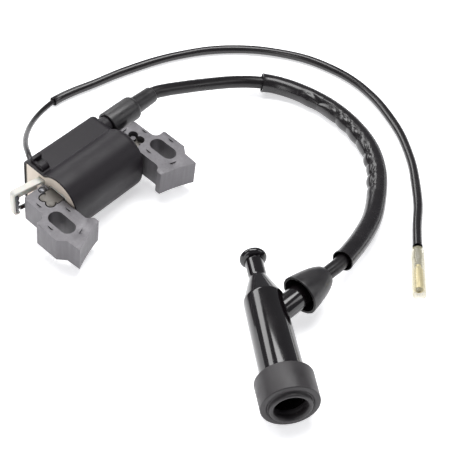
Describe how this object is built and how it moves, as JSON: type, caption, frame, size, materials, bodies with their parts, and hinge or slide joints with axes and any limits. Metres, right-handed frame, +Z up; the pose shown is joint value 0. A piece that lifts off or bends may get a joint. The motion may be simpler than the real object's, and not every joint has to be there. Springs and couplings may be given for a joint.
{
  "type": "ignition coil",
  "caption": "Small-engine ignition coil: potted coil on a laminated two-leg core, with a sleeved high-tension lead to an angled plug cap and a stop wire ending in a bullet connector.",
  "frame": {"origin": "centre of the coil unit's bounding box in plan, on the surface that it lies on", "axes": "+X along the coil from its open end to its lead end, +Y away from the flywheel, +Z up; the coil rests on its housing with its core tilted 9 degrees, pole faces lowest"},
  "size_m": [0.1862, 0.2109, 0.0305],
  "materials": {
    "black_phenolic": "polished phenolic",
    "circuit_board": "solder-masked laminate",
    "brass": "plain",
    "varnished_steel": "stamped laminations, varnished",
    "cable_jacket": "smooth cable jacket",
    "ceramic": "unglazed",
    "clear_tube": "clear flexible tube",
    "copper_winding": "enamelled copper wire, wound",
    "moulded_epoxy": "moulded epoxy",
    "housing": "moulded satin, fine grain",
    "natural_nylon": "natural nylon",
    "potting_resin": "cast epoxy, slightly uneven",
    "black_rubber": "satin moulded rubber",
    "black_sleeving": "thin soft sleeving",
    "lamination_steel": "stamped laminations, lightly oiled",
    "tinned_metal": "tinned"
  },
  "bodies": {
    "coil_unit": {"housing": "housing", "potting": "potting_resin", "centre_core": "varnished_steel", "left_leg": "lamination_steel", "right_leg": "lamination_steel", "earth_pin": "tinned_metal", "core_rivet": "lamination_steel", "primary_bobbin": "natural_nylon", "primary_winding": "copper_winding", "secondary_bobbin": "natural_nylon", "secondary_winding": "copper_winding", "wire_guard": "natural_nylon", "earth_lug": "tinned_metal", "earth_wire": "cable_jacket", "igniter_board": "circuit_board", "power_transistor": "moulded_epoxy", "drive_resistor": "ceramic", "ht_terminal": "brass", "lead_collar": "black_rubber", "bullet_socket": "brass", "ht_lead": "cable_jacket", "lead_sleeve": "black_sleeving", "stop_wire": "cable_jacket", "stop_wire_sleeve": "black_sleeving"},
    "plug_cap": {"cap_body": "black_phenolic", "cap_seal": "black_rubber", "plug_socket": "brass", "snap_ring": "lamination_steel", "suppressor_resistor": "ceramic", "contact_spring": "lamination_steel", "lead_screw": "brass", "cap_boot": "black_rubber"},
    "connector_sleeve": {"connector_sleeve": "clear_tube"}
  },
  "joints": [
    {"name": "cap_turn", "type": "hinge", "parent": "coil_unit", "child": "plug_cap", "pos_m": [-0.00939, -0.10343, 0.01135], "axis": [0.9984, -0.0569, 0], "range_deg": [-90, 90]},
    {"name": "clear_sleeve_slide", "type": "slide", "parent": "coil_unit", "child": "connector_sleeve", "axis": [-0.8039, -0.5948, 0], "range_m": [-0.003, 0.006]}
  ]
}
